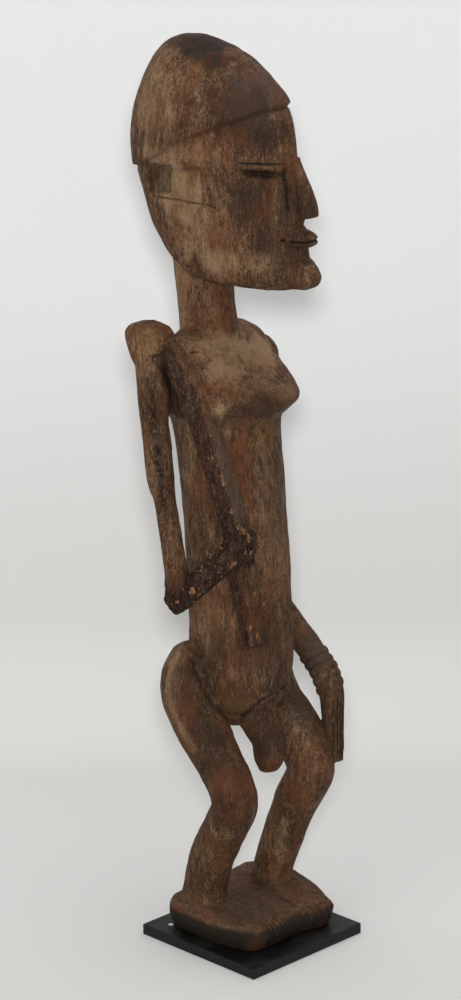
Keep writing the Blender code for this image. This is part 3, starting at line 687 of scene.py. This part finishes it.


# Narrow rims along an edge or a crease: line, half width, strength. The light rims are wear along edges; the
# dark rims are painted shade along the crease between the shaft and the body, around the shaft's lower end
# and between the belly and the right thigh
rims = {
    "tan": [
        ([(-48, 26, 198), (-54, 30, 186), (-57, 30, 172), (-57, 24, 158), (-55, 15, 144),
          (-54, 6, 134)], 3.5, 1.3),
        ([(-66, 12, 252), (-58, 3, 261), (-47, -8, 273), (-38, -15, 282)], 1.4, 0.9),
        ([(-45, 35, 5), (-46, 17, 2), (-46, -1, 0.5), (-44, -17, 0), (-38, -30, 0)], 1.8, 0.2),
        ([(-50, -6, 118), (-54, -14, 108), (-53, -22, 96), (-50, -18, 82)], 2.5, 0.5),
    ],
    "sootAndShade": [
        ([(-64, 25, 412), (-58, 27, 399), (-51, 28, 386), (-48, 24, 372), (-46, 18, 352), (-42, 12, 334),
          (-39, 7, 316), (-36, 3, 300), (-34, 0, 288)], 3.0, 1.0),
        ([(-30.5, -6, 262), (-29, -10, 241), (-26.5, -14, 223), (-24, -18, 207), (-14, -23, 206)], 1.3, 0.9),
        ([(-45, 10, 186), (-42, 4, 172), (-36, 0, 160), (-28, -2, 151), (-21, -8, 149),
          (-15, -15, 156)], 2.2, 0.9),
    ],
}


def colourShares(thing):
    # each stain's share falls off from its middle, with a border that wanders along the grain
    points, _ = vertexArrays(thing.data)
    parts = toParts(points)
    _, shares = relief(parts)
    drawn = parts.copy()
    drawn[:, 2] += 5 * np.minimum(parts[:, 2] - 8, 0)               # no streaks down the block's sides
    ragged = layeredNoise(drawn / np.array([7, 7, 24]), 71)
    streaky = smoothNoise(drawn / np.array([2.2, 2.2, 22]), 81)
    for name, spots in stains.items():
        total = shares.get(name, np.zeros(len(parts)))
        for x, y, z, wide, high, strength in spots:
            away = np.linalg.norm((parts - (x, y, z)) / np.array([wide, wide, high]), axis=1)
            total = np.maximum(total, strength * step(1.35 - away + 0.55 * ragged + 0.3 * streaky, 0, 0.9))
        for line, width, strength in rims.get(name, []):
            away = lineDistance(parts, line)[0] / width
            total = np.maximum(total, strength * step(1.6 - away + 0.5 * ragged + 0.3 * streaky, 0, 1.2))
        shares[name] = total
    # the block's sides are nearly black, less so at its worn corner and towards the figure's left
    side = step(-0.5 - parts[:, 2] + 1.5 * ragged, -1, 4)
    corner = np.linalg.norm((parts - block["redCorner"]) / block["cornerSize"], axis=1)
    side *= 0.35 + 0.65 * step(corner + 0.6 * ragged, 0.5, 1.2)
    side *= 1 - 0.35 * step(parts[:, 0], 5, 20)
    shares["sootAndShade"] = np.maximum(shares["sootAndShade"], 1.9 * side)
    shares["foot"] = 1.15 * side
    for name, values in shares.items():
        layer = thing.data.attributes.new(name, "FLOAT", "POINT")
        layer.data.foreach_set("value", np.clip(values, 0, 2).astype(np.float32))


def newMaterial(name):
    material = bpy.data.materials.new(name)
    material.use_nodes = True
    return material, material.node_tree, material.node_tree.nodes["Principled BSDF"]


def add(tree, kind, settings=None, **sockets):
    # one node, its settings, and its sockets given as values or as other nodes' outputs
    node = tree.nodes.new(kind)
    for key, value in (settings or {}).items():
        setattr(node, key, value)
    for key, value in sockets.items():
        socket = node.inputs[int(key[1:])] if key[0] == "i" and key[1:].isdigit() else node.inputs[key]
        if isinstance(value, bpy.types.NodeSocket):
            tree.links.new(value, socket)
        else:
            socket.default_value = value
    return node


def blendColour(tree, share, first, second):
    node = add(tree, "ShaderNodeMix", {"data_type": "RGBA", "clamp_factor": True})
    for index, value in ((0, share), (6, first), (7, second)):
        if isinstance(value, bpy.types.NodeSocket):
            tree.links.new(value, node.inputs[index])
        else:
            node.inputs[index].default_value = value if index == 0 else (*value, 1.0)
    return node.outputs[2]


def reckon(tree, way, first, second):
    # one sum on two values or outputs
    node = add(tree, "ShaderNodeMath", {"operation": way})
    for index, value in enumerate((first, second)):
        if isinstance(value, bpy.types.NodeSocket):
            tree.links.new(value, node.inputs[index])
        else:
            node.inputs[index].default_value = value
    return node.outputs[0]


def swing(tree, pattern, amount):
    # a pattern's difference from its middle, made stronger or weaker
    return reckon(tree, "MULTIPLY", reckon(tree, "SUBTRACT", pattern, 0.5), amount)


def ranged(tree, value, low, high, newLow=0.0, newHigh=1.0):
    node = add(tree, "ShaderNodeMapRange", {"interpolation_type": "SMOOTHSTEP"})
    tree.links.new(value, node.inputs["Value"])
    for key, number in (("From Min", low), ("From Max", high), ("To Min", newLow), ("To Max", newHigh)):
        node.inputs[key].default_value = number
    return node.outputs[0]


def noise(tree, where, wide, high, detail=3.0, rough=0.55, warp=0.0):
    # noise whose cells are wide across the grain and high along it, in metres
    stretch = add(tree, "ShaderNodeMapping", Scale=(1 / wide, 1 / wide, 1 / high))
    tree.links.new(where, stretch.inputs["Vector"])
    node = add(tree, "ShaderNodeTexNoise", Scale=1.0, Detail=detail, Roughness=rough, Distortion=warp)
    tree.links.new(stretch.outputs[0], node.inputs["Vector"])
    return node.outputs["Fac"]


def share(tree, name):
    return add(tree, "ShaderNodeAttribute", {"attribute_name": name}).outputs["Fac"]


wood = {
    "grainTones": [(0.20, (0.042, 0.020, 0.010)), (0.38, (0.071, 0.035, 0.017)),
                   (0.52, (0.118, 0.062, 0.031)), (0.66, (0.168, 0.096, 0.050)),
                   (0.84, (0.250, 0.160, 0.088))],
    "tan": (0.280, 0.170, 0.095),
    "red": (0.135, 0.042, 0.015),
    "yellow": (0.180, 0.094, 0.030),
    # grey: the grey patches' own colour, and painted shade on the shaft's flank
    "greyAndShade": (0.066, 0.045, 0.034),
    # dark brown for the patina and for painted shade
    "sootAndShade": (0.020, 0.012, 0.008),
    "crust": (0.011, 0.006, 0.004),
    "crustWarm": (0.032, 0.013, 0.008),
    "chipDark": (0.12, 0.050, 0.020),
    "chip": (0.27, 0.135, 0.062),
    "nick": (0.25, 0.145, 0.070),
    "foot": (0.0150, 0.0112, 0.0066),
    # the darkest brown: painted shade in the hollows, and the open pores' own dark
    "hollowShadeAndPores": (0.006, 0.003, 0.002),
    "blends": {"tan": 0.30, "red": 0.72, "yellow": 0.62, "greyAndShade": 0.75, "sootAndShade": 0.66, "foot": 0.85},
    "patterns": {     # cell width and cell height in metres, detail, roughness
        "streak": (0.0013, 0.020, 3.0, 0.6), "fleck": (0.0010, 0.0024, 2.0, 0.7),
        "patch": (0.0038, 0.0080, 3.0, 0.6), "cloud": (0.012, 0.034, 3.0, 0.6),
        "slow": (0.018, 0.040, 2.0, 0.5), "pores": (0.0006, 0.0085, 1.0, 0.5),
        "nicks": (0.0009, 0.0050, 1.0, 0.4)},
    "streaked": 0.52,
    "clouded": 0.62,
    "middle": 0.45,       # where unstained wood lies among the tones of the grain
    "blockTop": 0.032,    # below this the grain is drawn shorter
    "bump": 0.6,
}


def toneRamp(tree, value, stops):
    node = add(tree, "ShaderNodeValToRGB", Fac=value)
    ramp = node.color_ramp
    while len(ramp.elements) < len(stops):
        ramp.elements.new(0.5)
    for element, (place, tone) in zip(ramp.elements, stops):
        element.position = place
        element.color = (*tone, 1.0)
    return node.outputs[0]


def woodMaterial():
    material, tree, shader = newMaterial("old_carved_wood")
    place = add(tree, "ShaderNodeSeparateXYZ", i0=add(tree, "ShaderNodeTexCoord").outputs["Object"]).outputs
    below = reckon(tree, "MINIMUM", reckon(tree, "SUBTRACT", place["Z"], wood["blockTop"]), 0.0)
    height = reckon(tree, "ADD", place["Z"], reckon(tree, "MULTIPLY", below, 4.0))
    where = add(tree, "ShaderNodeCombineXYZ", X=place["X"], Y=place["Y"], Z=height).outputs[0]
    drawn = {name: noise(tree, where, *sizes) for name, sizes in wood["patterns"].items()}
    fleck, patch, pores = drawn["fleck"], drawn["patch"], drawn["pores"]

    # streaks, flecks, patches and clouds add up to one value that the tones of the grain are read from
    level = reckon(tree, "MULTIPLY", share(tree, "tan"), 0.27)
    flecked = ranged(tree, place["Z"], 0.028, 0.045, 0.5, 1.2)
    patched = reckon(tree, "ADD", reckon(tree, "MULTIPLY", share(tree, "worn"), 0.9), 0.62)
    for pattern, amount in ((drawn["streak"], wood["streaked"]), (fleck, flecked), (patch, patched),
                            (drawn["cloud"], wood["clouded"])):
        level = reckon(tree, "ADD", level, swing(tree, pattern, amount))
    # the dark share lowers the grain's tone: dark patina, and painted shade in the creases and under the
    # chest and belly
    level = reckon(tree, "SUBTRACT", level, reckon(tree, "MULTIPLY", share(tree, "sootAndShade"), 0.24))
    level = reckon(tree, "ADD", level, wood["middle"])
    colour = toneRamp(tree, level, wood["grainTones"])
    colour = blendColour(tree, ranged(tree, drawn["slow"], 0.48, 0.64, 0.0, 0.42), colour, wood["red"])

    mottled = ranged(tree, patch, 0.34, 0.60, 0.4, 1.0)
    for name, amount in wood["blends"].items():
        weight = reckon(tree, "MULTIPLY", share(tree, name), reckon(tree, "MULTIPLY", mottled, amount))
        colour = blendColour(tree, weight, colour, wood[name])
    broken = reckon(tree, "MULTIPLY", reckon(tree, "ADD", fleck, patch), 0.5)
    crustTone = blendColour(tree, ranged(tree, fleck, 0.46, 0.60), wood["crust"], wood["crustWarm"])
    crusted = reckon(tree, "MULTIPLY", share(tree, "crust"), ranged(tree, broken, 0.42, 0.58, 1.0, 0.72))
    colour = blendColour(tree, crusted, colour, crustTone)
    nicks = ranged(tree, drawn["nicks"], 0.56, 0.68, 0.0, 0.6)
    colour = blendColour(tree, reckon(tree, "MULTIPLY", nicks, share(tree, "worn")), colour, wood["nick"])
    chipTone = blendColour(tree, ranged(tree, fleck, 0.42, 0.58), wood["chipDark"], wood["chip"])
    torn = reckon(tree, "ADD", share(tree, "chips"), swing(tree, fleck, 1.6))
    colour = blendColour(tree, ranged(tree, torn, 0.50, 0.68, 0.0, 0.9), colour, chipTone)
    # painted shade: darker in the cuts, cracks, pits, ear recess, cap border and bracelet grooves
    shade = ranged(tree, share(tree, "hollowShade"), 0.2, 1.4, 0.0, 0.85)
    colour = blendColour(tree, shade, colour, wood["hollowShadeAndPores"])
    colour = blendColour(tree, ranged(tree, pores, 0.60, 0.72, 0.0, 0.5), colour, wood["hollowShadeAndPores"])
    tree.links.new(colour, shader.inputs["Base Color"])

    tree.links.new(ranged(tree, patch, 0.3, 0.7, 0.86, 0.62), shader.inputs["Roughness"])
    shader.inputs["Specular IOR Level"].default_value = 0.16
    relieved = reckon(tree, "ADD", reckon(tree, "MULTIPLY", drawn["streak"], 0.6),
                      reckon(tree, "MULTIPLY", fleck, 0.5))
    relieved = reckon(tree, "SUBTRACT", relieved, ranged(tree, pores, 0.56, 0.72, 0.0, 0.6))
    bump = add(tree, "ShaderNodeBump", Strength=wood["bump"], Distance=0.0007, Height=relieved)
    tree.links.new(bump.outputs[0], shader.inputs["Normal"])
    return material


def makeFigure():
    thing = makeSkin()
    print("skin fused:", len(thing.data.vertices), "points")
    carve(thing)
    thinOut(thing, skin["triangles"])
    colourShares(thing)
    thing.data.materials.clear()
    thing.data.materials.append(woodMaterial())
    thing.data.shade_smooth()
    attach(thing, "root")
    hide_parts("figure")
    print("figure carved:", len(thing.data.polygons), "triangles")


plate = {
    "paint": (0.0026, 0.0026, 0.0018),
    "dust": (0.0115, 0.0110, 0.0080),
    "paper": (0.75, 0.73, 0.68),
    "speck": (-0.0424, 0.0406, 0.008),
    "speckSize": 0.0022,
    "motes": (0.10, 0.10, 0.09),
}


def plateMaterial():
    material, tree, shader = newMaterial("black_plate")
    where = add(tree, "ShaderNodeTexCoord").outputs["Object"]
    film = noise(tree, where, 0.018, 0.018, 4.0, 0.6)
    motes = noise(tree, where, 0.0009, 0.0009, 2.0, 0.6)
    colour = blendColour(tree, ranged(tree, film, 0.42, 0.72, 0.0, 0.6), plate["paint"], plate["dust"])
    colour = blendColour(tree, ranged(tree, motes, 0.70, 0.80, 0.0, 0.4), colour, plate["motes"])
    away = add(tree, "ShaderNodeVectorMath", {"operation": "DISTANCE"}, i0=where, i1=plate["speck"])
    speck = ranged(tree, away.outputs["Value"], plate["speckSize"], 0.6 * plate["speckSize"])
    colour = blendColour(tree, speck, colour, plate["paper"])
    tree.links.new(colour, shader.inputs["Base Color"])
    tree.links.new(ranged(tree, film, 0.35, 0.7, 0.40, 0.58), shader.inputs["Roughness"])
    shader.inputs["Specular IOR Level"].default_value = 0.27
    grain = noise(tree, where, 0.0012, 0.0012, 3.0, 0.6)
    bump = add(tree, "ShaderNodeBump", Strength=0.15, Distance=0.0002, Height=grain)
    tree.links.new(bump.outputs[0], shader.inputs["Normal"])
    return material


def dressPlate():
    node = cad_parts["display_plate"]
    node.data.materials.clear()
    node.data.materials.append(plateMaterial())
    print("plate dressed")


stage = {
    "floorEnd": 0.31,      # where the sweep leaves the floor, behind the object's middle
    "bend": 0.10,
    "height": 2.4,
    "halfWidth": 3.0,
    "near": -7.0,
    "nearHalfWidth": 7.0,
    # painted light and shade: the paper is coloured darker on the near floor and lighter up the wall, as the
    # lamps' light falls off
    "nearShadeTone": (0.655, 0.648, 0.620),
    "low": (0.740, 0.738, 0.724),
    "high": (0.855, 0.855, 0.86),
    "depthFade": (-0.45, 0.10),    # how far back the floor turns from its near tone to low
    "fade": (0.10, 0.42),      # heights between which the paper turns from low to high
}


def makeStage():
    # a profile of floor, quarter circle and wall, drawn out sideways to the camera's heading
    heading = math.radians(camera["heading"])
    ahead = np.array([-math.sin(heading), math.cos(heading), 0.0])
    aside = np.array([ahead[1], -ahead[0], 0.0])
    arc = np.linspace(0, np.pi / 2, 24)
    along = np.concatenate([[stage["near"]], stage["floorEnd"] + stage["bend"] * np.sin(arc),
                            [stage["floorEnd"] + stage["bend"]]])
    up = np.concatenate([[0], stage["bend"] * (1 - np.cos(arc)), [stage["height"]]])
    wide = np.full(len(along), stage["halfWidth"])
    wide[0] = stage["nearHalfWidth"]
    sides = np.array([-1.0, 1.0])
    points = (ahead * along[:, None, None] + aside * (sides[None, :] * wide[:, None])[..., None]
              + np.array([0, 0, 1.0]) * up[:, None, None])
    k = 2 * np.arange(len(along) - 1)
    faces = np.stack([k, k + 1, k + 3, k + 2], axis=-1)
    sweep = meshObject("paper_sweep", points.reshape(-1, 3), faces.tolist())
    sweep.data.shade_smooth()
    material, tree, shader = newMaterial("pale_paper")
    where = add(tree, "ShaderNodeTexCoord").outputs["Object"]
    rise = add(tree, "ShaderNodeSeparateXYZ", i0=where)
    depth = add(tree, "ShaderNodeVectorMath", {"operation": "DOT_PRODUCT"}, i0=where, i1=tuple(ahead))
    # painted light and shade: darker towards the near floor and lighter higher up the wall
    nearness = ranged(tree, depth.outputs["Value"], *stage["depthFade"])
    floorTone = blendColour(tree, nearness, stage["nearShadeTone"], stage["low"])
    tone = blendColour(tree, ranged(tree, rise.outputs["Z"], *stage["fade"]), floorTone, stage["high"])
    tree.links.new(tone, shader.inputs["Base Color"])
    shader.inputs["Roughness"].default_value = 0.9
    shader.inputs["Specular IOR Level"].default_value = 0.1
    clear = add(tree, "ShaderNodeBsdfTransparent").outputs[0]
    back = add(tree, "ShaderNodeNewGeometry").outputs["Backfacing"]
    choose = add(tree, "ShaderNodeMixShader", i0=back, i1=shader.outputs[0], i2=clear)
    tree.links.new(choose.outputs[0], tree.nodes["Material Output"].inputs["Surface"])
    sweep.data.materials.append(material)


lights = {
    "key": {"energy": 30.0, "size": 0.16, "above": 0.10},
    "soft": {"energy": 5.0, "size": 1.4, "place": (-1.85, -0.15, 1.5)},
    "top": {"energy": 12.0, "size": 1.3, "place": (0.05, -0.10, 2.2)},
    "world": ((1.0, 1.0, 1.0), 0.34),
}


def areaLight(name, place, target, size, energy):
    data = bpy.data.lights.new(name, "AREA")
    data.shape = "DISK"
    data.size, data.energy = size, energy
    thing = bpy.data.objects.new(name, data)
    thing.location = place
    thing.rotation_mode = "QUATERNION"
    thing.rotation_quaternion = (Vector(target) - Vector(place)).to_track_quat("-Z", "Y")
    bpy.context.scene.collection.objects.link(thing)


def makeLight():
    _, up, forward = cameraAxes()
    key = lights["key"]
    areaLight("key", Vector(camera["eye"]) + up * key["above"], (0, 0, 0.33), key["size"], key["energy"])
    for name in ("soft", "top"):
        light = lights[name]
        areaLight(name, light["place"], (0, 0, 0.35), light["size"], light["energy"])
    world = bpy.data.worlds.new("studio")
    world.use_nodes = True
    colour, strength = lights["world"]
    world.node_tree.nodes["Background"].inputs[0].default_value = (*colour, 1.0)
    world.node_tree.nodes["Background"].inputs[1].default_value = strength
    bpy.context.scene.world = world
    bpy.context.scene.view_settings.view_transform = "Standard"


makeCamera()
print("camera set")
makeFigure()
dressPlate()
makeStage()
makeLight()
print("stage and light set")
